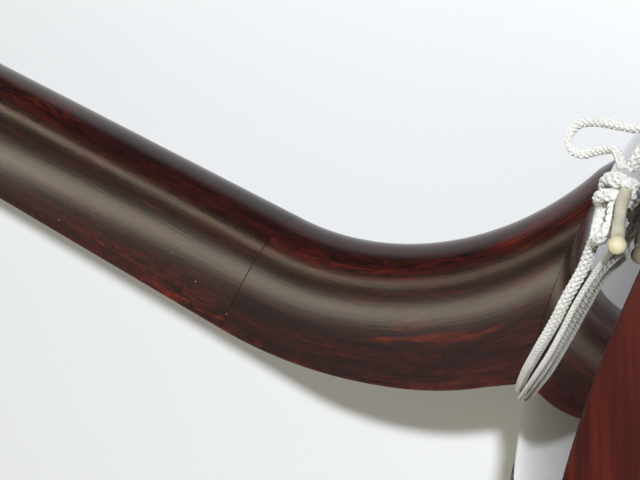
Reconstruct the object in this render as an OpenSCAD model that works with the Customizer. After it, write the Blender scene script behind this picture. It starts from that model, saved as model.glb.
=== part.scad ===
// Three-string lute with a square wooden body and a neck that comes apart in three pieces.
// It lies on its arm rest, knee side up. +X runs to the tail, -Y is the string side, +Z is up.
// The origin is the middle of the arm rest's flat outer face. All sizes are in millimetres.

/* [Body] */
// Length of the body along the neck
body_len = 196; // [188:1:204]
// Width of the body across the strings
body_w = 182; // [174:1:190]
// Depth of the body walls from rim to rim
body_depth = 95; // [90:1:100]
// Radius of each wall in plan
plan_r = 300; // [260:5:400]
// How far each wall bulges between its rims
barrel_rise = 9.5; // [6:0.5:11]
// Thickness of the walls
wall_t = 9; // [7:0.5:12]
// Thickness of the skins
skin_t = 0.8; // [0.5:0.1:1]
// How far the skins are folded down over the walls
skin_fold = 6; // [3:0.5:8]

/* [Neck] */
// Width of the neck at the body
neck_w_low = 27.7; // [26:0.1:30]
// Width of the neck at the nut
neck_w_high = 25; // [23:0.1:27]
// Depth of the neck
neck_depth = 27; // [24:0.5:29]
// Distance from the body to the nut
neck_len = 625; // [600:5:640]
// Distance from the body to the lower joint
lower_joint = 55; // [50:1:80]
// Length of the middle neck piece
middle_len = 283; // [260:1:290]
// How far the neck leans back from the body, in degrees
lean = 2.5; // [1.5:0.1:3]

/* [Fittings] */
// Thickness of the arm rest over the middle of the wall
rest_t = 5; // [4:0.5:6]
// Length of the arm rest
rest_len = 145; // [120:1:150]
// Diameter of the thick tie cord
cord_d = 1.5; // [1:0.1:2.5]
// Diameter of the thin tie cord
thin_cord_d = 0.7; // [0.6:0.1:1.2]

/* [Hidden] */
$fn = 96;
HULL_FN = 32;
half_l = body_len / 2;
half_w = body_w / 2;
half_d = body_depth / 2;
body_z = half_w + rest_t;
barrel_r = (half_d * half_d + barrel_rise * barrel_rise) / (2 * barrel_rise);
waist_r = plan_r - barrel_r;
end_axis = plan_r - half_l;
side_axis = plan_r - half_w;
// Adjoining walls meet in a plane: z = mitre_slope * x - mitre_drop, from the body's centre
mitre_slope = end_axis / side_axis;
mitre_drop = (side_axis * side_axis - end_axis * end_axis) / (2 * side_axis);
skin_y = -half_d - skin_t;

// Neck root: the fingerboard drops and the back sweeps out in two arcs, seen from the side
drop_r = 101;
drop_start = -55;
hook = 2.05;
hook_start = -20;
hook_end = 3;
sweep_r = 56;
sweep_start = -54;
root_tip_y = 66;
root_front_y = 20.4;
section_power = 2.5;
section_steps = 24;
root_step = 3;
wall_gap = 0.04;
tang_w = 18;
tang_d = 14;
tang_y = 27;
tang_len = 223;
tenon_len = 24;
tenon_w = 10;
tenon_d = 12;
tenon_y = 7;
fit_gap = 0.1;

// Head: a band between two arcs, with a slot for the strings
head_join = 612;
head_bend_x = -640;
head_front_r = 210;
head_back_r = 241;
head_front_y = 1;
head_turn = 47.8;
head_w = 34;
slot_w = 11;
slot_x = [-634, -718];
nut_top_y = -1.6;
nut_x = -628;

// Pegs: where each crosses the head and which way its handle points
peg_x = [-655, -680, -705];
peg_y = [12.5, 15.5, 20];
peg_side = [-1, 1, -1];
peg_r_handle = 6;
peg_r_tip = 5;
peg_gap = 0.05;
seat_t = 1.2;
handle_r = [6.8, 9.6];
string_hole_r = 0.8;
string_hole_z = [-3.6, 0, 3.6];
nut_notch_z = [0, 8];
nut_notch_w = 0.8;

function unit(v) = v / norm(v);

// A point of the neck's own frame, where y = 0 is the fingerboard, in the part's frame
function from_neck(p) = [
    -half_l + p[0] * cos(lean) + (p[1] - half_d) * sin(lean),
    -p[0] * sin(lean) + (p[1] - half_d) * cos(lean),
    body_z + p[2]];

// Children are drawn in the neck's own frame
module in_neck() {
    translate([-half_l, 0, body_z]) rotate([0, 0, -lean]) translate([0, -half_d, 0]) children();
}

// A smooth line through hand-chosen points
function blend_point(a, b, c, d, t) = 0.5 * ((2 * b) + (c - a) * t
    + (2 * a - 5 * b + 4 * c - d) * t * t + (3 * b - a - 3 * c + d) * t * t * t);
function smooth(p, steps) = let (last = len(p) - 1) [
    for (i = [0 : last - 1]) for (k = [0 : steps - 1])
        blend_point(p[max(i - 1, 0)], p[i], p[i + 1], p[min(i + 2, last)], k / steps),
    p[last]];

// A tube of the given diameter along a line of points
function heading(p, i) = unit(p[min(i + 1, len(p) - 1)] - p[max(i - 1, 0)]);
function side_at(p, i, first) = let (
    t = heading(p, i), from = i == 0 ? first : side_at(p, i - 1, first)) unit(from - (from * t) * t);
module tube(p, d, first = [0, 1, 0], sides = 8) {
    rings = [for (i = [0 : len(p) - 1]) let (u = side_at(p, i, first), v = cross(heading(p, i), u))
        for (k = [0 : sides - 1]) p[i] + d / 2 * (cos(360 * k / sides) * u + sin(360 * k / sides) * v)];
    n = len(p);
    polyhedron(rings, concat(
        [[for (k = [sides - 1 : -1 : 0]) k]],
        [for (i = [0 : n - 2]) for (k = [0 : sides - 1]) let (a = i * sides + k, b = i * sides + (k + 1) % sides)
            each [[a, b, b + sides], [a, b + sides, a + sides]]],
        [[for (k = [0 : sides - 1]) (n - 1) * sides + k]]));
}

// A closed skin over a row of cross-sections with the same number of points
module loft(rows) {
    m = len(rows[0]);
    n = len(rows);
    polyhedron([for (row = rows) each row], concat(
        [[for (k = [m - 1 : -1 : 0]) k]],
        [for (i = [0 : n - 2]) for (k = [0 : m - 1]) let (a = i * m + k, b = i * m + (k + 1) % m)
            each [[a, b, b + m], [a, b + m, a + m]]],
        [[for (k = [0 : m - 1]) (n - 1) * m + k]]));
}

// ---- Body ----

// Solid of revolution that carries one wall's outer or inner surface
module barrel(grow, depth) {
    rotate([90, 0, 0]) rotate_extrude($fn = 180) intersection() {
        union() {
            translate([waist_r, 0]) circle(barrel_r + grow);
            translate([0, -body_depth]) square([waist_r, 2 * body_depth]);
        }
        translate([0, -depth / 2]) square([2 * plan_r, depth]);
    }
}

// The sector of the body between two mitre planes, for an end wall or a side wall
module sector(is_end, turn) {
    reach = 160;
    near = 30;
    edge = is_end ? [for (r = [near, reach]) r * mitre_slope - mitre_drop]
        : [for (r = [near, reach]) (r + mitre_drop) / mitre_slope];
    translate([0, 0, body_z]) rotate([0, turn, 0]) rotate([90, 0, 0])
        translate([0, 0, -body_depth]) linear_extrude(2 * body_depth)
            polygon([[-near, -edge[0]], [-reach, -edge[1]], [-reach, edge[1]], [-near, edge[0]]]);
}

// A shell of one wall, from offset inner to offset outer; turn 0 is the neck side
module shell(is_end, turn, outer, inner, depth = body_depth) {
    axis_x = is_end ? end_axis : side_axis;
    intersection() {
        translate([0, 0, body_z]) rotate([0, turn, 0]) translate([axis_x, 0, 0]) difference() {
            barrel(outer, depth);
            barrel(inner, depth + 2);
        }
        sector(is_end, turn);
    }
}

NECK_SIDE = 0;
KNEE_SIDE = 90;
TAIL_SIDE = 180;
REST_SIDE = 270;

module tang_hole() {
    in_neck() translate([-30, tang_y - fit_gap, -tang_w / 2 - fit_gap])
        cube([280, tang_d + 2 * fit_gap, tang_w + 2 * fit_gap]);
}

module body_side_neck() {
    color("#3a100c") difference() {
        shell(true, NECK_SIDE, 0, -wall_t);
        tang_hole();
    }
}

module body_side_tail() {
    color("#3a100c") difference() {
        shell(true, TAIL_SIDE, 0, -wall_t);
        tang_hole();
    }
}

module body_side_knee() {
    color("#5a1c12") shell(false, KNEE_SIDE, 0, -wall_t);
}

module body_side_armrest() {
    color("#5a1c12") shell(false, REST_SIDE, 0, -wall_t);
}

// Outline of the body at its rims, grown by a margin
module rim_outline(grow) {
    r = plan_r - barrel_rise + grow;
    intersection() {
        translate([end_axis, 0]) circle(r, $fn = 180);
        translate([-end_axis, 0]) circle(r, $fn = 180);
        translate([0, side_axis]) circle(r, $fn = 180);
        translate([0, -side_axis]) circle(r, $fn = 180);
    }
}

// Skin over one opening, folded down over the walls
module skin(side) {
    fold_t = 0.5;
    color("#efe9dc") {
        translate([0, side * (half_d + skin_t / 2), body_z]) rotate([90, 0, 0])
            translate([0, 0, -skin_t / 2]) linear_extrude(skin_t) rim_outline(fold_t);
        intersection() {
            for (w = [[true, NECK_SIDE], [false, KNEE_SIDE], [true, TAIL_SIDE], [false, REST_SIDE]])
                shell(w[0], w[1], fold_t, 0.02);
            translate([-body_len, side > 0 ? half_d - skin_fold : -half_d, -body_w])
                cube([2 * body_len, skin_fold, 3 * body_w]);
        }
    }
}

module front_skin() {
    skin(-1);
}

module back_skin() {
    skin(1);
}

// Half-round patch where the plectrum strikes, on the arm-rest side of the front skin
module plectrum_patch() {
    patch_r = 38;
    patch_t = 0.4;
    patch_x = 18;
    patch_drop = 78;
    color("#e4dbc6") translate([patch_x, skin_y, body_z - patch_drop]) rotate([90, 0, 0])
        linear_extrude(patch_t) intersection() {
            circle(patch_r);
            translate([-patch_r, 0]) square([2 * patch_r, patch_r]);
        }
}

// ---- Arm rest ----

module rest_block(outer, inner) {
    intersection() {
        shell(false, REST_SIDE, outer, inner, body_depth - 2);
        translate([-rest_len / 2, -half_d, 0]) cube([rest_len, body_depth, body_w]);
    }
}

module arm_rest() {
    rest_edge = 7;
    color("#2b2b33") rest_block(rest_edge, 1.6);
}

module arm_rest_lining() {
    color("#7c1f2a") rest_block(1.6, 0.6);
}

// ---- Neck ----

// Heights of the fingerboard and of the back, from the fingerboard's plane
function hook_at(x) = x < hook_start ? 0 : hook * pow((x - hook_start) / (hook_end - hook_start), 3);
function front_at(x) = hook_at(x)
    + (x < drop_start ? 0 : drop_r - sqrt(pow(drop_r, 2) - pow(x - drop_start, 2)));
function back_at(x) = neck_depth
    + (x < sweep_start ? 0 : sweep_r - sqrt(pow(sweep_r, 2) - pow(x - sweep_start, 2)));
function width_at(x) = neck_w_low + (neck_w_high - neck_w_low) * min(1, -x / neck_len);

// The neck's section is flat in front and a narrowing arch behind
function arch_depth(a) = pow(abs(sin(a)), 2 / section_power);
function section_at(x) = [for (k = [0 : section_steps]) let (a = 180 * k / section_steps)
    [x, front_at(x) + (back_at(x) - front_at(x)) * arch_depth(a), width_at(x) / 2 * cos(a)]];

// The last section lies on the body's curved wall
function on_wall(y, z) = let (
    waist = waist_r + sqrt(barrel_r * barrel_r - y * y),
    x = plan_r - sqrt(waist * waist - z * z) - wall_gap)
    [x * cos(lean) - y * sin(lean), x * sin(lean) + y * cos(lean) + half_d, z];
function root_section(past_wall) = [for (k = [0 : section_steps]) let (a = 180 * k / section_steps)
    on_wall(root_front_y - half_d + (root_tip_y - root_front_y) * arch_depth(a), neck_w_low / 2 * cos(a))
        + [past_wall, 0, 0]];

// A tenon that points to the head from x, or the mortise that takes it
module tenon(x, gap) {
    translate([x - tenon_len - gap, tenon_y - gap, -tenon_w / 2 - gap])
        cube([tenon_len + gap + 0.5 * sign(gap), tenon_d + 2 * gap, tenon_w + 2 * gap]);
}

upper_joint = lower_joint + middle_len;

module lower_neck() {
    root_end = -1.5;
    trim = 6;
    color("#4a120e") {
        // The root is cut to the curve of the wall it stands on
        difference() {
            in_neck() loft(concat([for (x = [-lower_joint : root_step : root_end]) section_at(x)],
                [section_at(root_end), root_section(0), root_section(trim)]));
            translate([end_axis, 0, body_z]) barrel(wall_gap, body_depth);
        }
        in_neck() {
            tenon(-lower_joint, 0);
            translate([-12, tang_y, -tang_w / 2]) cube([tang_len + 12, tang_d, tang_w]);
        }
    }
}

module middle_neck() {
    color("#4a120e") in_neck() {
        difference() {
            loft([section_at(-upper_joint), section_at(-lower_joint)]);
            tenon(-lower_joint, fit_gap);
        }
        tenon(-upper_joint, 0);
    }
}

module upper_neck() {
    color("#4a120e") in_neck() {
        difference() {
            loft([section_at(-head_join), section_at(-upper_joint)]);
            tenon(-upper_joint, fit_gap);
        }
        tenon(-head_join, 0);
    }
}

// Side view of the head: a straight stock, then the band that bends back
module head_side() {
    front_axis_y = head_front_y + head_front_r;
    back_axis_y = neck_depth + head_back_r;
    translate([head_bend_x, 0]) square([-head_bend_x - head_join, neck_depth]);
    intersection() {
        difference() {
            translate([head_bend_x, front_axis_y]) circle(head_front_r, $fn = 180);
            translate([head_bend_x, back_axis_y]) circle(head_back_r, $fn = 180);
        }
        translate([head_bend_x, front_axis_y]) polygon([[0, 0], [0, -2 * head_front_r],
            [-2 * head_front_r * sin(head_turn), -2 * head_front_r * cos(head_turn)]]);
    }
}

// Front view of the head: the neck's width, the peg box, a waist and a flared end
module head_front() {
    edge = [[-head_join, neck_w_high / 2], [-630, neck_w_high / 2], [-644, head_w / 2],
        [-718, head_w / 2], [-738, 12.5], [-765, 18], [-797, 27]];
    polygon(concat(edge, [for (i = [len(edge) - 1 : -1 : 0]) [edge[i][0], -edge[i][1]]]));
}

// Tapered shaft of a peg, or its bore, from z = -reach to z = reach of the head
module peg_taper(i, gap) {
    reach = 25;
    taper = (peg_r_handle - peg_r_tip) / 2 * reach / (head_w / 2);
    middle = (peg_r_handle + peg_r_tip) / 2 + gap;
    translate([peg_x[i], peg_y[i], 0]) rotate([peg_side[i] > 0 ? 0 : 180, 0, 0])
        translate([0, 0, -reach]) cylinder(h = 2 * reach, r1 = middle - taper, r2 = middle + taper);
}

module head() {
    color("#4a120e") in_neck() difference() {
        intersection() {
            translate([0, 0, -40]) linear_extrude(80) head_side();
            translate([0, 100, 0]) rotate([90, 0, 0]) linear_extrude(200) head_front();
        }
        tenon(-head_join, fit_gap);
        translate([slot_x[1], -20, -slot_w / 2]) cube([slot_x[0] - slot_x[1], 120, slot_w]);
        translate([nut_x - 3.05, -1, -5]) cube([5.1, 3.1, 18]);
        for (i = [0 : 2]) peg_taper(i, peg_gap);
    }
}

// Metal strip with notches for the second and third strings; the first would pass beside it
module nut() {
    notch_depth = 0.4;
    color("#c8a860") in_neck() difference() {
        translate([nut_x - 3, nut_top_y, -4.9]) cube([5, 2.1 - nut_top_y, 17.3]);
        for (z = nut_notch_z) translate([nut_x - 4, nut_top_y - 1, z - nut_notch_w / 2])
            cube([8, 1 + notch_depth, nut_notch_w]);
    }
}

// ---- Pegs ----

module peg(i) {
    s = peg_side[i];
    start = head_w / 2 + seat_t + 0.4;
    end_z = body_z;
    dome = 4;
    color("#15110f") in_neck() {
        difference() {
            intersection() {
                peg_taper(i, 0);
                translate([peg_x[i], peg_y[i], s > 0 ? -head_w / 2 - 3 : -start])
                    translate([-20, -20, 0]) cube([40, 40, head_w / 2 + 3 + start]);
            }
            translate([peg_x[i], peg_y[i], string_hole_z[i]]) rotate([90, 0, 0])
                cylinder(h = 4 * peg_r_handle, r = string_hole_r, center = true, $fn = 24);
        }
        translate([peg_x[i], peg_y[i], s * start]) rotate([s > 0 ? 0 : 180, 0, 0]) {
            cylinder(h = end_z - start - dome, r1 = handle_r[0], r2 = handle_r[1], $fn = 6);
            translate([0, 0, end_z - start - dome])
                cylinder(h = dome, r1 = handle_r[1], r2 = handle_r[1] * 0.55, $fn = 6);
        }
    }
}

module peg_1() {
    peg(0);
}

module peg_2() {
    peg(1);
}

module peg_3() {
    peg(2);
}

// Rings let into the sides of the head under the handles
module peg_seat_plates() {
    color("#c8a860") in_neck() for (i = [0 : 2])
        translate([peg_x[i], peg_y[i], peg_side[i] * (head_w / 2 + seat_t / 2)]) difference() {
            cylinder(h = seat_t, r = 9, center = true);
            cylinder(h = 2 * seat_t, r = peg_r_handle + 0.4, center = true);
        }
}

// ---- Tail cord: three free strands that go over the rim to a loop on the tail spike ----

strand_d = 2.6;
spike_middle = from_neck([body_len + 8, tang_y + tang_d / 2, 0]);
loop_half_w = tang_w / 2 + strand_d / 2 + 0.3;
loop_half_h = tang_d / 2 + strand_d / 2 + 0.3;
loop_corner = 2;
loop_end = 0.4;
// Round the spike from the middle of its front face and back to it
loop_path = [for (p = [
    [-loop_half_h, loop_end], [-loop_half_h, loop_half_w - loop_corner], [loop_corner - loop_half_h, loop_half_w],
    [loop_half_h - loop_corner, loop_half_w], [loop_half_h, loop_half_w - loop_corner],
    [loop_half_h, loop_corner - loop_half_w], [loop_half_h - loop_corner, -loop_half_w],
    [loop_corner - loop_half_h, -loop_half_w], [-loop_half_h, loop_corner - loop_half_w],
    [-loop_half_h, -loop_end]]) spike_middle + [0, p[0], p[1]]];

module tail_cord() {
    loop_y = spike_middle[1] - loop_half_h - strand_d;
    on_skin = skin_y - strand_d / 2 - 0.1;
    color("#c9a23a") for (z = [-11, 0, 11]) tube(smooth([
        [66, on_skin, body_z + 1.3 * z], [73, on_skin, body_z + 1.1 * z],
        [82, on_skin, body_z + 0.85 * z], [88.6, on_skin, body_z + 0.72 * z],
        [91.2, -47.4, body_z + 0.68 * z], [96.6, -41, body_z + 0.6 * z],
        [101.6, -35, body_z + 0.5 * z], [spike_middle[0], loop_y, body_z + 0.45 * z]], 3), strand_d);
}

module tail_cord_loop() {
    color("#c9a23a") tube(loop_path, strand_d, [1, 0, 0]);
}

// ---- Tie cords of the arm rest ----

// Routes over the neck-side wall, in the part's frame
thick_route = [[-93.1, 1, 159.5], [-93.2, -0.1, 157.5], [-93.1, -3.1, 155], [-93.5, -7.3, 152.3],
    [-93.7, -11, 149.3], [-94.1, -14.5, 145.3], [-94.5, -18, 139.8], [-94.9, -21.4, 133],
    [-95.1, -24.4, 125.5], [-95.3, -26.8, 118], [-95.4, -28, 112], [-95.6, -28.2, 106],
    [-95.8, -28.2, 96], [-95.5, -28.2, 84], [-94.7, -27.2, 68], [-93.3, -23.5, 46], [-90.9, -18, 30],
    [-89.6, -15, 22], [-88.8, -14, 17.3], [-86, -13, 15], [-80, -12, 13.2], [-73.2, -12, 10.5]];
thin_route = [[-90.9, 0, 164.6], [-91.6, -3.1, 160.5], [-92.1, -7.2, 157.6], [-92.3, -11.4, 154.8],
    [-92.6, -15.2, 151], [-93.1, -18.8, 145.6], [-93.6, -22.4, 138], [-94.1, -25.8, 129],
    [-94.4, -28, 120.5], [-94.7, -29.2, 112.5], [-94.9, -29.5, 106], [-95.1, -29.5, 96],
    [-94.9, -29.5, 84], [-93.9, -29, 68], [-92.6, -25.6, 46], [-90.3, -20.2, 30], [-89.1, -17, 22],
    [-88.4, -15.9, 17.3], [-86, -15, 15], [-80, -14.4, 13.3], [-73.2, -14.2, 10.8]];
back_route = [[-92.9, 10, 157.4], [-92.3, 14, 159.4], [-91, 20, 161], [-89.4, 28, 161], [-87.1, 36, 160],
    [-84.8, 43, 159], [-83, 48, 157.6], [-80.6, 49.9, 154], [-74, 49.8, 138], [-66, 49.8, 108],
    [-60, 49.8, 76], [-57, 49.8, 46], [-56.2, 49.8, 26], [-56.4, 48.6, 17]];
free_loop_route = [[-93.6, 9.6, 158], [-95.3, 11.7, 155.5], [-96.5, 11.6, 154], [-97.8, 11, 152.5],
    [-99.1, 10.3, 151.5], [-100.6, 10.5, 150.5], [-101.6, 11.6, 150], [-101.6, 13.1, 150],
    [-100.6, 14.3, 150.5], [-98.6, 14.9, 151.5], [-96.7, 15, 153], [-94.3, 15.2, 154.6],
    [-92.8, 16.2, 155.6], [-91.8, 18.6, 156.4], [-91.2, 21.6, 156.8]];
tail_tie_route = [[73.2, -8, 10.5], [80, -8, 13], [86, -9, 15], [89, -10, 17.3], [90.4, -12, 24],
    [93, -16, 40], [96.6, -19, 60], [99.6, -20.4, 76], [101, -20.8, 84.4]];

module arm_rest_cord() {
    color("#f0ede4") tube(smooth(thick_route, 2), cord_d);
}

module arm_rest_thin_cord() {
    color("#ece6d2") tube(smooth(thin_route, 2), thin_cord_d);
}

module back_tie_cord() {
    color("#f0ede4") tube(smooth(back_route, 2), cord_d);
}

module tail_tie_cord() {
    color("#f0ede4") tube(smooth(tail_tie_route, 2), cord_d);
}

// The doubled end of the thick cord and the knot that holds it
module cord_knot() {
    color("#f0ede4") {
        hull() for (p = [[-92.8, 1.3, 160.5], [-93, 5, 159]]) translate(p) sphere(1.2, $fn = 16);
        hull() for (p = [[-93.4, 6.2, 157.6], [-93.2, 8.6, 158]]) translate(p) sphere(2.2, $fn = 16);
    }
}

module cord_loop() {
    color("#f0ede4") tube(smooth(free_loop_route, 2), 1.2);
}

module cord_tube() {
    color("#e6dfc2") tube(smooth([[-92.2, 7, 160.6], [-92, 5.4, 162.6], [-91.4, 3.3, 164.8],
        [-90.9, 1.7, 166.8]], 2), 1.4);
}

module cord_bead() {
    color("#e9dcae") translate([-90.6, 0.9, 167.9]) sphere(1, $fn = 32);
}

body_side_neck();
body_side_tail();
body_side_knee();
body_side_armrest();
front_skin();
back_skin();
plectrum_patch();
arm_rest();
arm_rest_lining();
lower_neck();
middle_neck();
upper_neck();
head();
nut();
peg_1();
peg_2();
peg_3();
peg_seat_plates();
tail_cord();
tail_cord_loop();
arm_rest_cord();
arm_rest_thin_cord();
back_tie_cord();
tail_tie_cord();
cord_knot();
cord_loop();
cord_tube();
cord_bead();
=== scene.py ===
"""An unstrung three-string lute with a square body and a take-apart neck, lying on its arm rest."""
import math

import bmesh
import bpy
from mathutils import Matrix, Vector


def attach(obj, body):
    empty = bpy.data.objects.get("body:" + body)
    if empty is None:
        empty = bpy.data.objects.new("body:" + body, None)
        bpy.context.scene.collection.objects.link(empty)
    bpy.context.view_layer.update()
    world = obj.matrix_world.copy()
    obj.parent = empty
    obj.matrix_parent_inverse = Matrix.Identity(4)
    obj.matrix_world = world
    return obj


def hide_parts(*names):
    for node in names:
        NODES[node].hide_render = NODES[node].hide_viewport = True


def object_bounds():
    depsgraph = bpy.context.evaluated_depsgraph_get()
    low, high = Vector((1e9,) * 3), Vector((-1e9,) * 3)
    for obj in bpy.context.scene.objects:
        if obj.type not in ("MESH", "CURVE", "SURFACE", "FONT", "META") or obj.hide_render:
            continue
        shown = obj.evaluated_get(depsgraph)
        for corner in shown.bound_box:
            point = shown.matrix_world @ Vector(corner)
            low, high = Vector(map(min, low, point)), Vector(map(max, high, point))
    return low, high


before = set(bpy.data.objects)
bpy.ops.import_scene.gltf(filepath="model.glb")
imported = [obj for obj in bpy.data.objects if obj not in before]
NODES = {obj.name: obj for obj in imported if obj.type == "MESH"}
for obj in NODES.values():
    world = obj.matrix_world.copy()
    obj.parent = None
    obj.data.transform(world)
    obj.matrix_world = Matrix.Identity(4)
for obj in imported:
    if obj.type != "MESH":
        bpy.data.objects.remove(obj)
CAD_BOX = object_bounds()
MM = 0.001

# ---- Sizes shared with the CAD model, in millimetres ----
# Body: half its length, width and depth, and the height of its middle above the floor
HALF_L, HALF_W, HALF_D = 98.0, 91.0, 47.5
BODY_Z = 96.0
# Its walls are parts of a ring: curved in plan, barrel-shaped from skin to skin, and about CORNER
# from their middle to the corners where they meet
PLAN_R, BARREL_RISE, WALL_T, CORNER = 300.0, 9.5, 9.0, 78.0
BARREL_R = (HALF_D**2 + BARREL_RISE**2) / (2 * BARREL_RISE)
WAIST_R = PLAN_R - BARREL_R
END_AXIS, SIDE_AXIS = PLAN_R - HALF_L, PLAN_R - HALF_W
SKIN_Y = -HALF_D - 0.8
# Neck: its lean against the body, joints by their distance from the body, and its section
LEAN = math.radians(2.5)
NECK_LEN, LOWER_JOINT, UPPER_JOINT, HEAD_JOIN = 625.0, 55.0, 338.0, 612.0
W_LOW, W_HIGH, NECK_DEPTH, SECTION_POWER = 27.7, 25.0, 27.0, 2.5
# Near the body the fingerboard drops away and the back sweeps out to the root's tip
DROP_R, DROP_START, SWEEP_R, SWEEP_START = 101.0, -55.0, 56.0, -54.0
HOOK, HOOK_START, HOOK_END = 2.05, -20.0, 3.0
ROOT_TIP, ROOT_FRONT = 66.0, 20.4
# The tang's width, depth, distance behind the fingerboard, and length
TANG = (18.0, 14.0, 27.0, 223.0)
# Head: both faces bend round circles that start at HEAD_X
HEAD_X, HEAD_FRONT_R, HEAD_BACK_R, HEAD_FRONT_Y, HEAD_TURN = -640.0, 210.0, 241.0, 1.0, math.radians(47.8)
HEAD_W, SLOT_W, SLOT_X, NUT_X = 34.0, 11.0, (-634.0, -718.0), -628.0
PEG_X, PEG_Y, PEG_SIDE = (-655.0, -680.0, -705.0), (12.5, 15.5, 20.0), (-1, 1, -1)
PEG_R, BORE_GAP, STRING_HOLE_R, STRING_HOLE_Z = (6.0, 5.0), 0.06, 0.8, (-3.6, 0.0, 3.6)
# Cords: diameters, and routes in the part's frame
CORD_D, THIN_D, LOOP_D, TAIL_D = 1.5, 0.7, 1.2, 2.6
THICK_ROUTE = [
    (-93.1, 1, 159.5), (-93.2, -0.1, 157.5), (-93.1, -3.1, 155), (-93.5, -7.3, 152.3), (-93.7, -11, 149.3),
    (-94.1, -14.5, 145.3), (-94.5, -18, 139.8), (-94.9, -21.4, 133), (-95.1, -24.4, 125.5),
    (-95.3, -26.8, 118), (-95.4, -28, 112), (-95.6, -28.2, 106), (-95.8, -28.2, 96), (-95.5, -28.2, 84),
    (-94.7, -27.2, 68), (-93.3, -23.5, 46), (-90.9, -18, 30), (-89.6, -15, 22), (-88.8, -14, 17.3),
    (-86, -13, 15), (-80, -12, 13.2), (-73.2, -12, 10.5)]
THIN_ROUTE = [
    (-90.9, 0, 164.6), (-91.6, -3.1, 160.5), (-92.1, -7.2, 157.6), (-92.3, -11.4, 154.8),
    (-92.6, -15.2, 151), (-93.1, -18.8, 145.6), (-93.6, -22.4, 138), (-94.1, -25.8, 129), (-94.4, -28, 120.5),
    (-94.7, -29.2, 112.5), (-94.9, -29.5, 106), (-95.1, -29.5, 96), (-94.9, -29.5, 84), (-93.9, -29, 68),
    (-92.6, -25.6, 46), (-90.3, -20.2, 30), (-89.1, -17, 22), (-88.4, -15.9, 17.3), (-86, -15, 15),
    (-80, -14.4, 13.3), (-73.2, -14.2, 10.8)]
BACK_ROUTE = [
    (-92.9, 10, 157.4), (-92.3, 14, 159.4), (-91, 20, 161), (-89.4, 28, 161), (-87.1, 36, 160),
    (-84.8, 43, 159), (-83, 48, 157.6), (-80.6, 49.9, 154), (-74, 49.8, 138), (-66, 49.8, 108),
    (-60, 49.8, 76), (-57, 49.8, 46), (-56.2, 49.8, 26), (-56.4, 48.6, 17)]
LOOP_ROUTE = [
    (-93.6, 9.6, 158), (-95.3, 11.7, 155.5), (-96.5, 11.6, 154), (-97.8, 11, 152.5), (-99.1, 10.3, 151.5),
    (-100.6, 10.5, 150.5), (-101.6, 11.6, 150), (-101.6, 13.1, 150), (-100.6, 14.3, 150.5),
    (-98.6, 14.9, 151.5), (-96.7, 15, 153), (-94.3, 15.2, 154.6), (-92.8, 16.2, 155.6),
    (-91.8, 18.6, 156.4), (-91.2, 21.6, 156.8)]
TAIL_TIE_ROUTE = [
    (73.2, -8, 10.5), (80, -8, 13), (86, -9, 15), (89, -10, 17.3), (90.4, -12, 24),
    (93, -16, 40), (96.6, -19, 60), (99.6, -20.4, 76), (101, -20.8, 84.4)]
SLEEVE_ROUTE = [(-92.2, 7, 160.6), (-92, 5.4, 162.6), (-91.4, 3.3, 164.8), (-90.9, 1.7, 166.8)]
BEAD_CENTRE, BEAD_R = (-90.6, 0.9, 167.9), 0.98


# ---- Camera: looks down on the neck's root from the knee side ----
def make_camera():
    data = bpy.data.cameras.new("Camera")
    data.lens, data.sensor_width = 44.4, 36.0
    data.clip_start = 0.01
    cam = bpy.data.objects.new("Camera", data)
    forward = Vector((-0.3249, -0.1146, -0.9388)).normalized()
    up = Vector((-0.3972, 0.9174, 0.0255))
    right = forward.cross(up).normalized()
    up = right.cross(forward)
    turn = Matrix((right, up, -forward)).transposed().to_4x4()
    cam.matrix_world = Matrix.Translation(Vector((-90.7, -1.0, 258.2)) * MM) @ turn
    bpy.context.scene.collection.objects.link(cam)
    bpy.context.scene.camera = cam


# ---- Mesh helpers ----
def circle(count):
    """Evenly spaced angles round a full turn."""
    return [2 * math.pi * k / count for k in range(count)]


def neck_point(x, y, z):
    """A point of the neck's own frame (y = 0 is the fingerboard, z = 0 its middle), in the row frame."""
    c, s = math.cos(LEAN), math.sin(LEAN)
    y -= HALF_D
    return Vector((-HALF_L + x * c + y * s, -x * s + y * c, BODY_Z + z))


def link_mesh(name, points, faces, replaces, material, slot, body="instrument", sharp=35, grain=None):
    """Makes a smooth-shaded piece, in millimetres; grain gives each point its place in the wood."""
    mesh = bpy.data.meshes.new(name)
    mesh.from_pydata([Vector(p) * MM for p in points], [], faces)
    if grain:
        layer = mesh.attributes.new("grain", "FLOAT_VECTOR", "POINT")
        layer.data.foreach_set("vector", [v * MM for place in grain for v in place])
    bm = bmesh.new()
    bm.from_mesh(mesh)
    bmesh.ops.remove_doubles(bm, verts=bm.verts, dist=1e-7)
    bmesh.ops.recalc_face_normals(bm, faces=bm.faces)
    bm.to_mesh(mesh)
    bm.free()
    mesh.shade_smooth()
    mesh.set_sharp_from_angle(angle=math.radians(sharp))
    piece = bpy.data.objects.new(name, mesh)
    bpy.context.scene.collection.objects.link(piece)
    return finish_piece(piece, body, replaces, material)


def finish_piece(piece, body, replaces, material):
    """Dresses a piece, puts it on its body and hides the CAD nodes it stands for."""
    piece.data.materials.clear()
    piece.data.materials.append(material)
    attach(piece, body)
    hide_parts(*replaces)
    return piece


def loft(rows):
    """Faces over rows of points, capped at both ends; each row is a closed loop."""
    m, n = len(rows[0]), len(rows)
    points = [p for row in rows for p in row]
    faces = []
    for i in range(n - 1):
        for k in range(m):
            after = (k + 1) % m
            faces.append((i * m + k, i * m + after, (i + 1) * m + after, (i + 1) * m + k))
    faces.append(tuple(reversed(range(m))))
    faces.append(tuple((n - 1) * m + k for k in range(m)))
    return points, faces


def merged(parts):
    """Joins several (points, faces) pairs into one."""
    points, faces = [], []
    for p, f in parts:
        base = len(points)
        points += p
        faces += [tuple(i + base for i in face) for face in f]
    return points, faces


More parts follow.
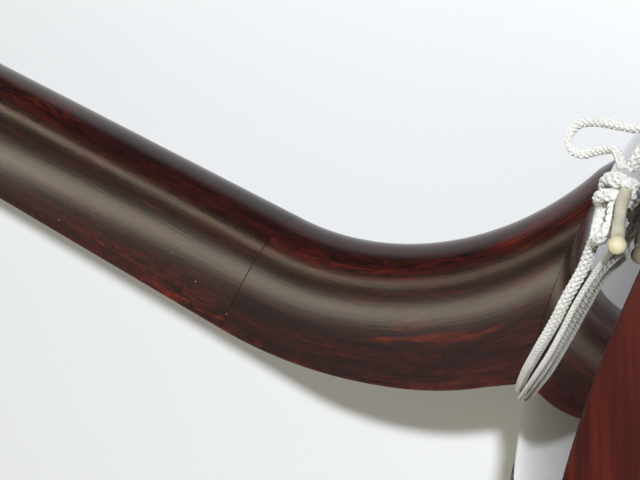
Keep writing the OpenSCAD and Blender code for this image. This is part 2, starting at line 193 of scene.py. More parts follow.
def smooth_route(points, steps):
    """Catmull-Rom line through given points."""
    pts = [Vector(p) for p in points]
    out = []
    last = len(pts) - 1
    for i in range(last):
        a, b, c, d = pts[max(i - 1, 0)], pts[i], pts[i + 1], pts[min(i + 2, last)]
        for k in range(steps):
            t = k / steps
            out.append(0.5 * (2 * b + (c - a) * t + (2 * a - 5 * b + 4 * c - d) * t * t
                              + (3 * b - a - 3 * c + d) * t**3))
    out.append(pts[-1])
    return out


def resample(line, step):
    """Points along a line, each one step of length from the last."""
    out, carry = [line[0]], 0.0
    for a, b in zip(line, line[1:]):
        length = (b - a).length
        while length > 0 and carry + length >= step:
            t = (step - carry) / length
            a = a.lerp(b, t)
            out.append(a.copy())
            length = (b - a).length
            carry = 0.0
        carry += length
    if (out[-1] - line[-1]).length > step * 0.3:
        out.append(line[-1].copy())
    return out


def frames_along(line):
    """Point, heading and two sides at each point, turning as little as possible."""
    side = Vector((0.13, 1, 0.07))
    out = []
    for i, p in enumerate(line):
        ahead = (line[min(i + 1, len(line) - 1)] - line[max(i - 1, 0)]).normalized()
        side = (side - ahead * side.dot(ahead)).normalized()
        out.append((p, ahead, side, ahead.cross(side)))
    return out


def tube(line, radius, sides=12):
    """Points and faces of a round tube; radius may be a number or a function of 0..1."""
    rings = []
    framed = frames_along(line)
    for i, (p, _, u, v) in enumerate(framed):
        r = radius(i / (len(framed) - 1)) if callable(radius) else radius
        rings.append([p + r * (math.cos(a) * u + math.sin(a) * v) for a in circle(sides)])
    return loft(rings)


def braid(line, diameter, thickness=0.25, step=0.2, strands=8):
    """Points and faces of a round braid: two sets of strands wind opposite ways and cross."""
    pitch = diameter * 2.6
    r_strand = diameter * thickness / 2
    r_mid = diameter / 2 - r_strand * 1.25
    walked = resample(line, step)
    framed = frames_along(walked)
    parts = [tube(walked, r_mid * 0.92, 10)]
    half = strands // 2
    for s in range(strands):
        way = 1 if s < half else -1
        phase = 2 * math.pi * (s % half) / half
        path = []
        for i, (p, _, u, v) in enumerate(framed):
            a = way * 2 * math.pi * i * step / pitch + phase
            # over one crossing strand and under the next
            lift = math.cos(half * (2 * math.pi * i * step / pitch) + (0 if way > 0 else math.pi))
            r = r_mid + r_strand * 0.45 * lift
            path.append(p + r * (math.cos(a) * u + math.sin(a) * v))
        parts.append(tube(path, r_strand, 6))
    return merged(parts)


# ---- Material helpers ----
class Nodes:
    """Short way to write a node tree."""

    def __init__(self, name):
        self.material = bpy.data.materials.new(name)
        self.material.use_nodes = True
        self.tree = self.material.node_tree
        self.bsdf = self.tree.nodes["Principled BSDF"]
        self.place = self.tree.nodes.new("ShaderNodeTexCoord").outputs["Object"]

    def link(self, a, b):
        self.tree.links.new(a, b)

    def node(self, kind, inputs=(), **props):
        made = self.tree.nodes.new("ShaderNode" + kind)
        for key, value in props.items():
            setattr(made, key, value)
        for key, value in dict(inputs).items():
            if isinstance(value, bpy.types.NodeSocket):
                self.link(value, made.inputs[key])
            else:
                made.inputs[key].default_value = value
        return made

    def scaled(self, scale, turn=(0, 0, 0), place=None):
        return self.node("Mapping", {"Vector": place or self.place, "Scale": scale,
                                     "Rotation": turn}).outputs[0]

    def noise(self, vector, scale, detail=4.0, rough=0.55, distortion=0.0):
        return self.node("TexNoise", {"Vector": vector, "Scale": scale, "Detail": detail,
                                      "Roughness": rough, "Distortion": distortion}).outputs["Fac"]

    def ramp(self, value, stops):
        """Colour or grey ramp; a stop is (place, colour) or (place, grey)."""
        made = self.node("ValToRGB", {"Fac": value})
        elements = made.color_ramp.elements
        while len(elements) > len(stops):
            elements.remove(elements[-1])
        while len(elements) < len(stops):
            elements.new(0.5)
        for element, (at, colour) in zip(elements, stops):
            element.position = at
            if not hasattr(colour, "__len__"):
                colour = (colour,) * 3
            element.color = (*colour, 1)
        return made.outputs["Color"]

    def mix(self, a, b, factor):
        made = self.node("Mix", data_type="RGBA")
        for socket, value in ((0, factor), (6, a), (7, b)):
            if isinstance(value, bpy.types.NodeSocket):
                self.link(value, made.inputs[socket])
            elif socket == 0:
                made.inputs[0].default_value = value
            else:
                made.inputs[socket].default_value = (*value, 1)
        return made.outputs[2]

    def math(self, operation, a, b):
        made = self.node("Math", operation=operation)
        for socket, value in enumerate((a, b)):
            if isinstance(value, bpy.types.NodeSocket):
                self.link(value, made.inputs[socket])
            else:
                made.inputs[socket].default_value = value
        return made.outputs[0]

    def set(self, **values):
        """Sets or links the shader's inputs; an underscore stands for a space."""
        for key, value in values.items():
            socket = self.bsdf.inputs[key.replace("_", " ")]
            if isinstance(value, bpy.types.NodeSocket):
                self.link(value, socket)
            else:
                socket.default_value = value

    def bump(self, height, strength, distance):
        made = self.node("Bump", {"Height": height, "Strength": strength, "Distance": distance})
        self.link(made.outputs[0], self.bsdf.inputs["Normal"])


def neck_wood(name, shift=0.0, along_grain=True, tilt=0.0):
    """Very dark rosewood with mottled red figure near both edges, long pores and a rubbed polish."""
    n = Nodes(name)
    place = n.node("Attribute", attribute_name="grain").outputs["Vector"] if along_grain else n.place
    across = n.node("SeparateXYZ", {0: place}).outputs["Y"]
    moved = n.node("Mapping", {"Vector": place, "Location": (shift, shift * 0.3, 0)}).outputs[0]
    patch = n.noise(n.scaled((16, 70, 50), (0, 0, tilt), moved), 1.0, 3, 0.55, 0.5)
    mottle = n.noise(n.scaled((75, 300, 200), (0, 0, tilt), moved), 1.0, 4, 0.65, 1.6)
    scallop = n.noise(n.scaled((170, 420, 300), (0, 0, tilt), moved), 1.0, 3, 0.6, 2.2)
    streak = n.noise(n.scaled((22, 620, 400), (0, 0, tilt), moved), 1.0, 4, 0.7, 0.3)
    fibre = n.noise(n.scaled((70, 2600, 1800), (0, 0, tilt), moved), 1.0, 3, 0.65)
    # the figure is strongest along the fingerboard edge and towards the back
    band = n.ramp(n.math("MULTIPLY", across, 1 / (NECK_DEPTH * MM)),
                  [(0.0, 1.0), (0.13, 0.75), (0.24, 0.16), (0.64, 0.03),
                   (0.76, 0.7), (0.88, 1.0), (0.96, 0.5), (1.0, 0.0)])
    base = n.ramp(streak, [(0.32, (0.007, 0.004, 0.004)), (0.52, (0.018, 0.006, 0.006)),
                           (0.72, (0.050, 0.010, 0.009))])
    red = n.ramp(scallop, [(0.36, (0.060, 0.008, 0.006)), (0.52, (0.140, 0.015, 0.009)),
                           (0.68, (0.28, 0.034, 0.012))])
    amount = n.math("MULTIPLY", n.ramp(patch, [(0.42, 0.15), (0.64, 1.0)]),
                    n.ramp(mottle, [(0.40, 0.0), (0.64, 1.0)]))
    spots = n.math("MULTIPLY", n.ramp(patch, [(0.58, 0.0), (0.70, 0.6)]),
                   n.ramp(mottle, [(0.44, 0.0), (0.62, 1.0)]))
    amount = n.math("MAXIMUM", n.math("MULTIPLY", amount, band), spots)
    colour = n.mix(base, red, n.math("MINIMUM", amount, 1.0))
    colour = n.mix(colour, (0.010, 0.004, 0.004), n.ramp(fibre, [(0.34, 0.8), (0.50, 0.0)]))
    worn = n.noise(n.scaled((9, 30, 30), place=moved), 1.0, 4, 0.6)
    scratch = n.ramp(n.noise(n.scaled((30, 1700, 900), (0, 0, 0.4), moved), 1.0, 1, 0.4),
                     [(0.755, 0.0), (0.80, 1.0)])
    dust = n.node("TexVoronoi", {"Vector": place, "Scale": 130.0}).outputs["Distance"]
    colour = n.mix(colour, (0.35, 0.33, 0.30),
                   n.math("MULTIPLY", n.ramp(dust, [(0.012, 0.5), (0.035, 0.0)]), 0.8))
    rough = n.math("ADD", n.ramp(worn, [(0.3, 0.185), (0.7, 0.235)]), n.math("MULTIPLY", scratch, 0.2))
    n.set(Base_Color=colour, Roughness=rough, Specular_IOR_Level=0.34)
    n.bump(n.math("ADD", fibre, n.math("MULTIPLY", worn, 2.0)), 0.05, 0.0002)
    return n.material


def end_wall_wood():
    """Near-black maroon wood under a mirror varnish."""
    n = Nodes("end_wall_varnish")
    figure = n.noise(n.scaled((20, 9, 60)), 1.0, 4, 0.6, 0.8)
    fibre = n.noise(n.scaled((500, 30, 900)), 1.0, 3, 0.6)
    colour = n.ramp(figure, [(0.3, (0.012, 0.003, 0.004)), (0.55, (0.030, 0.006, 0.006)),
                             (0.8, (0.065, 0.011, 0.009))])
    colour = n.mix(colour, (0.010, 0.003, 0.003), n.ramp(fibre, [(0.38, 0.6), (0.52, 0.0)]))
    dust = n.node("TexVoronoi", {"Vector": n.place, "Scale": 260.0}).outputs["Distance"]
    # the varnish is rubbed a little hollow beside the root, on the knee side
    split = n.node("SeparateXYZ", {0: n.place})
    beside = n.math("MULTIPLY", n.ramp(split.outputs["Z"], [(0.118, 0.0), (0.140, 1.0)]),
                    n.ramp(n.math("MULTIPLY", split.outputs["Y"], -1.0), [(0.0, 0.0), (0.006, 1.0)]))
    lean = n.node("CombineXYZ", {"Y": n.math("MULTIPLY", beside, -0.12)}).outputs[0]
    face = n.node("NewGeometry").outputs["Normal"]
    leaning = n.node("VectorMath", {0: face, 1: lean}, operation="ADD").outputs[0]
    normal = n.node("VectorMath", {0: leaning}, operation="NORMALIZE").outputs[0]
    n.set(Base_Color=n.mix(colour, (0.4, 0.38, 0.35), n.ramp(dust, [(0.015, 0.5), (0.04, 0.0)])),
          Roughness=0.3, Coat_Weight=1.0, Coat_Roughness=0.02, Coat_IOR=1.5, Specular_IOR_Level=0.05,
          Coat_Normal=normal)
    return n.material


def side_wall_wood():
    """Red wood with fine dark ribs that run aslant from rim to rim, under a thin varnish."""
    n = Nodes("side_wall_varnish")
    slanted = n.scaled((1, 1, 1), (0, 0, -0.42))
    wander = n.noise(n.scaled((30, 12, 14), place=slanted), 1.0, 3, 0.5, 0.6)
    ribs = n.noise(n.scaled((640, 26, 60), place=slanted), 1.0, 4, 0.6, 0.4)
    fibre = n.noise(n.scaled((1500, 60, 300), place=slanted), 1.0, 3, 0.6)
    light = n.noise(n.scaled((60, 45, 60)), 1.0, 2, 0.5, 0.5)
    colour = n.ramp(ribs, [(0.34, (0.018, 0.003, 0.003)), (0.50, (0.055, 0.005, 0.004)),
                           (0.66, (0.12, 0.013, 0.006))])
    colour = n.mix(colour, (0.055, 0.008, 0.006), n.ramp(wander, [(0.38, 0.6), (0.6, 0.0)]))
    colour = n.mix(colour, (0.16, 0.045, 0.022), n.ramp(light, [(0.60, 0.0), (0.74, 0.35)]))
    colour = n.mix(colour, (0.030, 0.005, 0.004), n.ramp(fibre, [(0.36, 0.6), (0.5, 0.0)]))
    n.set(Base_Color=colour, Roughness=0.32, Coat_Weight=0.35, Coat_Roughness=0.04, Coat_IOR=1.45,
          Specular_IOR_Level=0.1)
    n.bump(fibre, 0.04, 0.0001)
    return n.material


def cord_fabric(name, colour, shade, sheen=0.4):
    """Silky thread or felt, with painted shade in the gaps between the fibres."""
    n = Nodes(name)
    threads = n.noise(n.place, 5200.0, 3, 0.7)
    tint = n.noise(n.place, 160.0, 2, 0.5)
    # the fine darker flecks from threads are painted shade in the gaps between the fibres
    mixed = n.mix(colour, shade, n.ramp(threads, [(0.36, 0.6), (0.56, 0.0)]))
    n.set(Base_Color=n.mix(mixed, shade, n.ramp(tint, [(0.4, 0.3), (0.65, 0.0)])), Roughness=0.42,
          Sheen_Weight=sheen, Subsurface_Weight=0.25, Subsurface_Radius=(0.0006, 0.0006, 0.0005))
    n.bump(threads, 0.2, 0.00003)
    return n.material


def parchment(name, colour, shade):
    """Scraped skin: cloudy, with short hair lines and pores."""
    n = Nodes(name)
    cloud = n.noise(n.place, 18.0, 5, 0.6)
    pores = n.noise(n.place, 900.0, 3, 0.6)
    hair = n.noise(n.scaled((300, 40, 300)), 3.0, 2, 0.5)
    mixed = n.mix(colour, shade, n.ramp(cloud, [(0.35, 0.8), (0.7, 0.0)]))
    n.set(Base_Color=n.mix(mixed, shade, n.ramp(hair, [(0.3, 0.4), (0.5, 0.0)])), Roughness=0.42,
          Subsurface_Weight=0.1, Subsurface_Radius=(0.002, 0.0015, 0.001))
    n.bump(pores, 0.08, 0.0001)
    return n.material


def plain_polish(name, colour, shade, rough, scale, metal=0.0, coat=0.0, stretch=(1, 1, 1)):
    """A smooth hard surface with faint clouds in its colour and polish."""
    n = Nodes(name)
    cloud = n.noise(n.scaled(stretch), scale, 4, 0.6)
    n.set(Base_Color=n.mix(shade, colour, n.ramp(cloud, [(0.35, 0.0), (0.65, 1.0)])), Metallic=metal,
          Roughness=n.ramp(cloud, [(0.3, rough * 1.3), (0.7, rough * 0.8)]),
          Coat_Weight=coat, Coat_Roughness=0.06)
    n.bump(cloud, 0.06, 0.0001)
    return n.material


def rest_leather():
    """Fine-grained dark leather."""
    n = Nodes("rest_leather")
    cells = n.node("TexVoronoi", {"Vector": n.place, "Scale": 900.0},
                   feature="DISTANCE_TO_EDGE").outputs["Distance"]
    cloud = n.ramp(n.noise(n.place, 60.0, 4, 0.6), [(0.35, 0.0), (0.7, 1.0)])
    n.set(Base_Color=n.mix((0.010, 0.010, 0.016), (0.03, 0.03, 0.042), cloud),
          Roughness=n.ramp(cells, [(0.0, 0.6), (0.2, 0.42)]))
    n.bump(n.ramp(cells, [(0.0, 0.0), (0.18, 1.0)]), 0.35, 0.0002)
    return n.material


def paper():
    """White paper with painted shade that greys it a little towards the front of the instrument."""
    n = Nodes("floor_paper")
    fibre = n.noise(n.place, 400.0, 4, 0.6)
    across = n.node("SeparateXYZ", {0: n.place}).outputs["Y"]
    # painted shade: this share darkens the paper towards the front (-Y) and lightens it towards the back,
    # standing in for the lamp's uneven light
    painted_light_share = n.node("MapRange", {"Value": across, "From Min": -0.10, "From Max": 0.12,
                               "To Min": 0.0, "To Max": 1.0}).outputs[0]
    white = n.mix((0.80, 0.81, 0.82), (0.905, 0.91, 0.915), painted_light_share)
    n.set(Base_Color=n.mix(white, (0.83, 0.84, 0.85), n.ramp(fibre, [(0.3, 0.0), (0.8, 0.3)])),
          Roughness=0.85, Specular_IOR_Level=0.2)
    return n.material


# ---- Stage ----
def make_floor():
    far, lo = 3.0, CAD_BOX[0].z
    mesh = bpy.data.meshes.new("Floor")
    corners = [(-far, -far, lo), (far, -far, lo), (far, far, lo), (-far, far, lo)]
    mesh.from_pydata(corners, [], [(0, 1, 2, 3)])
    floor = bpy.data.objects.new("Floor", mesh)
    floor.data.materials.append(paper())
    bpy.context.scene.collection.objects.link(floor)


def make_world():
    """A warm pale room, darker overhead and darkest on the +Y side."""
    world = bpy.data.worlds.new("World")
    bpy.context.scene.world = world
    world.use_nodes = True
    tree = world.node_tree
    place = tree.nodes.new("ShaderNodeTexCoord")
    split = tree.nodes.new("ShaderNodeSeparateXYZ")
    tree.links.new(place.outputs["Generated"], split.inputs[0])

    def ramp(value, stops):
        made = tree.nodes.new("ShaderNodeValToRGB")
        tree.links.new(value, made.inputs["Fac"])
        elements = made.color_ramp.elements
        while len(elements) < len(stops):
            elements.new(0.5)
        for element, (at, colour) in zip(elements, stops):
            element.position, element.color = at, (*colour, 1)
        return made.outputs["Color"]

    by_height = ramp(split.outputs["Z"], [(0.0, (0.80, 0.78, 0.70)), (0.5, (0.70, 0.66, 0.52)),
                                          (0.8, (0.62, 0.59, 0.49)), (1.0, (0.74, 0.71, 0.66))])
    by_side = ramp(split.outputs["Y"], [(0.10, (1, 1, 1)), (0.32, (0.30, 0.30, 0.30)),
                                        (0.6, (0.05, 0.05, 0.05))])
    mixed = tree.nodes.new("ShaderNodeMix")
    mixed.data_type, mixed.blend_type = "RGBA", "MULTIPLY"
    mixed.inputs[0].default_value = 1.0
    tree.links.new(by_height, mixed.inputs[6])
    tree.links.new(by_side, mixed.inputs[7])
    background = tree.nodes["Background"]
    tree.links.new(mixed.outputs[2], background.inputs["Color"])
    background.inputs["Strength"].default_value = 0.70


def aim(obj, source, target):
    direction = Vector(target) - Vector(source)
    obj.location = Vector(source)
    obj.rotation_mode = "QUATERNION"
    obj.rotation_quaternion = direction.to_track_quat("-Z", "Y")


def make_lights():
    # One small lamp above the back throws the shadow
    key = bpy.data.lights.new("Key", "AREA")
    key.shape, key.size, key.energy, key.color = "DISK", 0.044, 12.6, (0.905, 0.94, 1.0)
    lamp = bpy.data.objects.new("Key", key)
    aim(lamp, (-0.07, 0.317, 1.15), (-0.13, -0.01, 0.0))
    bpy.context.scene.collection.objects.link(lamp)
    lamp.visible_glossy = False
    # Two long ceiling tubes along the neck, seen only as soft bands in its polish
    long = 3.4
    for name, y, z, turn_z, width, radiance, tint in (
            ("Tube_far", 0.90, 1.15, 0, 0.07, 14.0, (1.0, 0.86, 0.62)),
            ("Tube_near", 0.26, 1.25, 20, 0.24, 7.2, (1.0, 0.93, 0.74))):
        data = bpy.data.lights.new(name, "AREA")
        data.shape, data.size, data.size_y = "RECTANGLE", long, width
        data.energy, data.color = radiance * math.pi * long * width, tint
        strip = bpy.data.objects.new(name, data)
        along = Vector((math.cos(math.radians(turn_z)), math.sin(math.radians(turn_z)), 0))
        forward = Vector((0, -y, 0.1 - z))
        forward = (forward - along * forward.dot(along)).normalized()
        turn = Matrix((along, forward.cross(along) * -1, -forward)).transposed().to_4x4()
        strip.matrix_world = Matrix.Translation((-0.6, y, z)) @ turn
        bpy.context.scene.collection.objects.link(strip)
        strip.visible_diffuse = False


# ---- Neck ----
def front_at(x):
    """Depth of the fingerboard below its own plane; x is 0 at the body and falls towards the head."""
    drop = 0.0 if x < DROP_START else DROP_R - math.sqrt(DROP_R**2 - (x - DROP_START)**2)
    return drop + (HOOK * ((x - HOOK_START) / (HOOK_END - HOOK_START))**3 if x > HOOK_START else 0.0)


def back_at(x):
    """Depth of the neck's back, which sweeps out near the body."""
    return NECK_DEPTH + (0.0 if x < SWEEP_START else SWEEP_R - math.sqrt(SWEEP_R**2 - (x - SWEEP_START)**2))


def width_at(x):
    return W_LOW + (W_HIGH - W_LOW) * min(1.0, -x / NECK_LEN)


def section_outline(front, back, half, inset=0.0, corner=0.45, steps=56):
    """Closed loop of (y, z): a flat front with eased corners and an arched back."""
    front, back, half = front + inset, back - inset, half - inset
    depth = back - front
    loop = []
    flat = 6
    for k in range(1, flat):
        loop.append((front, -(half - corner) + 2 * (half - corner) * k / flat))
    for k in range(5):
        a = math.pi / 2 * k / 4
        loop.append((front + corner * (1 - math.cos(a)), half - corner * (1 - math.sin(a))))
    # the arch starts where it has left the corner
    start = corner / depth * 1.6
    for k in range(steps + 1):
        a = math.pi * k / steps
        t = abs(math.sin(a)) ** (2 / SECTION_POWER)
        if t > start:
            loop.append((front + depth * t, half * math.cos(a)))
    for k in range(5):
        a = math.pi / 2 * (1 - k / 4)
        loop.append((front + corner * (1 - math.cos(a)), -(half - corner * (1 - math.sin(a)))))
    return loop


def neck_row(x, inset=0.0):
    return [neck_point(x, y, z) for y, z in section_outline(front_at(x), back_at(x), width_at(x) / 2, inset)]


def grain_row(along, front, back, half):
    """Where each point of a section lies in the wood: along the neck, share of the depth, across."""
    return [(along, NECK_DEPTH * (y - front) / (back - front), z)
            for y, z in section_outline(front, back, half)]


def grain_of(rows_at):
    """Wood places for rows given by their distance along the neck."""
    return [place for x in rows_at for place in grain_row(x, front_at(x), back_at(x), width_at(x) / 2)]


def wall_row(inset, gap):
    """The neck's section where it meets the curved wall."""
    row = []
    for y, z in section_outline(ROOT_FRONT, ROOT_TIP, W_LOW / 2, inset):
        across = y - HALF_D
        waist = WAIST_R + math.sqrt(BARREL_R**2 - across**2)
        row.append(Vector((-HALF_L + PLAN_R - math.sqrt(waist**2 - z**2) - gap, across, BODY_Z + z)))
    return row


def box_part(lo, hi):
    """A box between two corners of the neck's own frame."""
    (x0, y0, z0), (x1, y1, z1) = lo, hi
    corners = ((y0, z0), (y1, z0), (y1, z1), (y0, z1))
    return loft([[neck_point(x, y, z) for y, z in corners] for x in (x0, x1)])


def make_neck():
    seam = 0.10
    xs = [-LOWER_JOINT + seam]
    while xs[-1] < -2.2:
        xs.append(xs[-1] + 1.0)
    rows = [neck_row(-LOWER_JOINT, seam)] + [neck_row(x) for x in xs]
    rows += [wall_row(0.0, 0.08), wall_row(0.05, 0.03)]
    # the tang, which comes out at the tail as a spike with a blunt end
    width, depth, behind, length = TANG
    bevelled = ((-1, -0.86), (-0.82, -1), (0.82, -1), (1, -0.86),
                (1, 0.86), (0.82, 1), (-0.82, 1), (-1, 0.86))
    spike_rows = [[neck_point(x, behind + y * (depth + 2 * grow) / 2 + depth / 2, z * (width + 2 * grow) / 2)
                   for y, z in bevelled]
                  for x, grow in ((10, 0), (length - 18, 0), (length - 6, -0.8), (length, -2.4))]
    tenon = box_part((-LOWER_JOINT - 24, 7, -5), (-LOWER_JOINT + 1, 19, 5))
    points, faces = merged([loft(rows), loft(spike_rows), tenon])
    grain = grain_of([-LOWER_JOINT] + xs) + 2 * grain_row(2, ROOT_FRONT, ROOT_TIP, W_LOW / 2)
    grain += [(p.x + HALF_L, p.y + HALF_D, p.z - BODY_Z) for p in points[len(grain):]]
    link_mesh("neck_lower_piece", points, faces, ["lower_neck"],
              neck_wood("neck_wood_lower", 0.013, tilt=0.25), "neck_wood", grain=grain)
    for name, node, x0, x1, shift in (("neck_middle_piece", "middle_neck", -UPPER_JOINT, -LOWER_JOINT, 0.37),
                                      ("neck_upper_piece", "upper_neck", -HEAD_JOIN, -UPPER_JOINT, 0.71)):
        count = 90
        inner = [x0 + seam + (x1 - x0 - 2 * seam) * k / count for k in range(count + 1)]
        rows = [neck_row(x0, seam)] + [neck_row(x) for x in inner] + [neck_row(x1, seam)]
        link_mesh(name, *loft(rows), [node], neck_wood("neck_wood_" + node, shift), "neck_wood",
                  grain=grain_of([x0] + inner + [x1]))


# ---- Body ----
def wall_x(axis, y, z, grow):
    """How far a wall's surface is from the body's centre, on its own axis."""
    return math.sqrt((WAIST_R + math.sqrt((BARREL_R + grow)**2 - y**2))**2 - z**2) - axis


def wall_edge(is_end, y, grow):
    """Where a wall's surface meets the mitre plane: its distance along the wall."""
    axis = END_AXIS if is_end else SIDE_AXIS
    slope = END_AXIS / SIDE_AXIS
    drop = (SIDE_AXIS**2 - END_AXIS**2) / (2 * SIDE_AXIS)
    z = CORNER
    for _ in range(30):
        out = wall_x(axis, y, z, grow)
        z = out * slope - drop if is_end else (out + drop) / slope
    return z


def wall_loop(is_end, share, sunk):
    """One closed column of a wall at a share of its half width: its outer face, then its inner one."""
    axis = END_AXIS if is_end else SIDE_AXIS
    outer_rows, inner_rows = 48, 12
    loop = []
    for k in range(outer_rows + 1):
        y = -HALF_D + 2 * HALF_D * k / outer_rows
        z = share * wall_edge(is_end, y, -sunk)
        loop.append((wall_x(axis, y, z, -sunk), y, z))
    for k in range(inner_rows + 1):
        y = HALF_D - 2 * HALF_D * k / inner_rows
        z = share * wall_edge(is_end, y, -WALL_T)
        loop.append((wall_x(axis, y, z, -WALL_T), y, z))
    return loop


def make_wall(name, node, is_end, sign, material, slot):
    def place(out, y, z):
        return (sign * out, y, BODY_Z + z) if is_end else (z, y, BODY_Z + sign * out)

    columns = 120
    # the long edge at each corner is eased by a narrow bevel
    ease = 0.15
    near = 1 - ease / CORNER
    rows = [wall_loop(is_end, -1, ease * 0.8)]
    rows += [wall_loop(is_end, -near + 2 * near * k / columns, 0.0) for k in range(columns + 1)]
    rows += [wall_loop(is_end, 1, ease * 0.8)]
    points, faces = loft([[place(*p) for p in row] for row in rows])
    link_mesh(name, points, faces, [node], material, slot, sharp=30)


def make_body():
    end_wood, side_wood = end_wall_wood(), side_wall_wood()
    make_wall("wall_neck_side", "body_side_neck", True, -1, end_wood, "end_wood")
    make_wall("wall_tail_side", "body_side_tail", True, 1, end_wood, "end_wood")
    make_wall("wall_knee_side", "body_side_knee", False, 1, side_wood, "side_wood")
    make_wall("wall_rest_side", "body_side_armrest", False, -1, side_wood, "side_wood")


# ---- Head ----
def head_half_width(x):
    """Half width of the head at a distance along it, from the front."""
    marks = [(-HEAD_JOIN, W_HIGH / 2), (-630, W_HIGH / 2), (-646, HEAD_W / 2), (-716, HEAD_W / 2),
             (-738, 12.6), (-765, 17.6), (-797, 26.6)]
    for (x0, w0), (x1, w1) in zip(marks, marks[1:]):
        if x >= x1:
            t = min(1.0, max(0.0, (x0 - x) / (x0 - x1)))
            return w0 + (w1 - w0) * (t * t * (3 - 2 * t))
    return marks[-1][1]


def head_stations():
    """(front point, back point) along the head, in the neck's own frame."""
    out = []
    for k in range(13):
        x = -HEAD_JOIN + (HEAD_X + HEAD_JOIN) * k / 12
        y = 0.0 if x > NUT_X + 2 else HEAD_FRONT_Y * min(1.0, (NUT_X + 2 - x) / 6)
        out.append(((x, y), (x, NECK_DEPTH)))
    front_axis = (HEAD_X, HEAD_FRONT_Y + HEAD_FRONT_R)
    back_axis = (HEAD_X, NECK_DEPTH + HEAD_BACK_R)
    count = 70
    for k in range(1, count + 1):
        a = HEAD_TURN * k / count
        front = (front_axis[0] - HEAD_FRONT_R * math.sin(a), front_axis[1] - HEAD_FRONT_R * math.cos(a))
        # along the inward normal to the back circle
        ox, oy = front[0] - back_axis[0], front[1] - back_axis[1]
        dx, dy = math.sin(a), math.cos(a)
        b = ox * dx + oy * dy
        t = -b - math.sqrt(b * b - (ox * ox + oy * oy - HEAD_BACK_R**2))
        out.append((front, (front[0] + dx * t, front[1] + dy * t)))
    return out


def head_row(front, back, half):
    """Rounded section of the head between its front and back, as a closed loop."""
    depth = math.dist(front, back)
    fx, fy = (back[0] - front[0]) / depth, (back[1] - front[1]) / depth
    return [neck_point(front[0] + fx * y, front[1] + fy * y, z)
            for y, z in section_outline(0, depth, half, corner=min(0.8, depth * 0.2), steps=44)]


def cut(points_faces, cutters, name):
    """A mesh with cutters taken away, each given as points and faces."""
    def temp(data):
        mesh = bpy.data.meshes.new(name)
        mesh.from_pydata([Vector(p) * MM for p in data[0]], [], data[1])
        bm = bmesh.new()
        bm.from_mesh(mesh)
        bmesh.ops.recalc_face_normals(bm, faces=bm.faces)
        bm.to_mesh(mesh)
        bm.free()
        obj = bpy.data.objects.new(name, mesh)
        bpy.context.scene.collection.objects.link(obj)
        return obj

    body = temp(points_faces)
    tools = [temp(c) for c in cutters]
    for tool in tools:
        modifier = body.modifiers.new("cut", "BOOLEAN")
        modifier.operation, modifier.object, modifier.solver = "DIFFERENCE", tool, "EXACT"
    evaluated = body.evaluated_get(bpy.context.evaluated_depsgraph_get())
    mesh = bpy.data.meshes.new_from_object(evaluated)
    for obj in [body, *tools]:
        bpy.data.objects.remove(obj)
    return mesh


def carved(name, points_faces, cutters, sharp):
    """A smooth-shaded object with cutters taken away."""
    mesh = cut(points_faces, cutters, name + "_cut")
    mesh.shade_smooth()
    mesh.set_sharp_from_angle(angle=math.radians(sharp))
    mesh.name = name
    obj = bpy.data.objects.new(name, mesh)
    bpy.context.scene.collection.objects.link(obj)
    return obj


def peg_radius(i, z, gap=0.0):
    """Radius of a peg's tapered shaft at a height from the head's middle."""
    toward = z * PEG_SIDE[i]
    return (PEG_R[0] + PEG_R[1]) / 2 + toward / HEAD_W * (PEG_R[0] - PEG_R[1]) + gap


def peg_ring(i, z, radius):
    """A closed loop round a peg's axis; radius is a function of the angle."""
    return [neck_point(PEG_X[i] + radius(a) * math.cos(a), PEG_Y[i] + radius(a) * math.sin(a), z)
            for a in circle(48)]


def make_head():
    rows = [head_row(front, back, head_half_width(front[0])) for front, back in head_stations()]
    half, ease = SLOT_W / 2, 1.6
    x0, x1 = SLOT_X
    outline = [(x0, -half + ease), (x0, half - ease), (x0 - ease, half), (x1 + ease, half),
               (x1, half - ease), (x1, -half + ease), (x1 + ease, -half), (x0 - ease, -half)]
    slot = loft([[neck_point(x, y, z) for x, z in outline] for y in (-20, 90)])
    bores = [loft([peg_ring(i, z, lambda a: peg_radius(i, z, BORE_GAP)) for z in (-24, 24)])
             for i in range(3)]
    head = carved("head_carved", loft(rows), [slot, *bores], 32)
    finish_piece(head, "instrument", ["head"], neck_wood("neck_wood_head", 1.13, along_grain=False))


# ---- Pegs ----
def handle_radius(share, angle):
    """Radius of a peg's six-sided handle at a share of its length, widest at the end, with eased edges."""
    width = 6.9 + 2.5 * share**1.3
    if share < 0.04:
        width *= 0.86 + 0.14 * math.sin(math.pi / 2 * share / 0.04)
    if share > 0.93:
        width *= math.sqrt(max(0.0, 1 - ((share - 0.93) / 0.072)**2)) * 0.55 + 0.45
    wedge = (angle + math.pi / 6) % (math.pi / 3) - math.pi / 6
    flat = math.cos(math.pi / 6) / math.cos(math.pi / 6 - abs(wedge))
    return width * (0.25 + 0.75 * min(flat, 0.975))


def make_pegs():
    ebony = plain_polish("ebony", (0.022, 0.016, 0.013), (0.008, 0.006, 0.005), 0.28, 40.0, coat=0.3,
                         stretch=(8, 8, 1))
    tip, start, end = -HEAD_W / 2 - 3.0, HEAD_W / 2 + 1.7, BODY_Z
    count = 44
    for i, side in enumerate(PEG_SIDE):
        rows = [peg_ring(i, z * side, lambda a: peg_radius(i, z * side) * share)
                for z, share in ((tip, 0.70), (tip + 0.4, 0.93), (tip + 1.2, 1.0), (start - 0.2, 1.0))]
        for k in range(count + 1):
            z = start + (end - start) * k / count
            rows.append(peg_ring(i, z * side, lambda a: handle_radius(k / count, a)))
        hole = loft([[neck_point(PEG_X[i] + STRING_HOLE_R * math.cos(a), PEG_Y[i] + y,
                                 STRING_HOLE_Z[i] + STRING_HOLE_R * math.sin(a)) for a in circle(24)]
                     for y in (-12, 12)])
        peg = carved(f"peg_turned_{i + 1}", loft(rows), [hole], 28)
        finish_piece(peg, f"peg_{i + 1}", [f"peg_{i + 1}"], ebony)


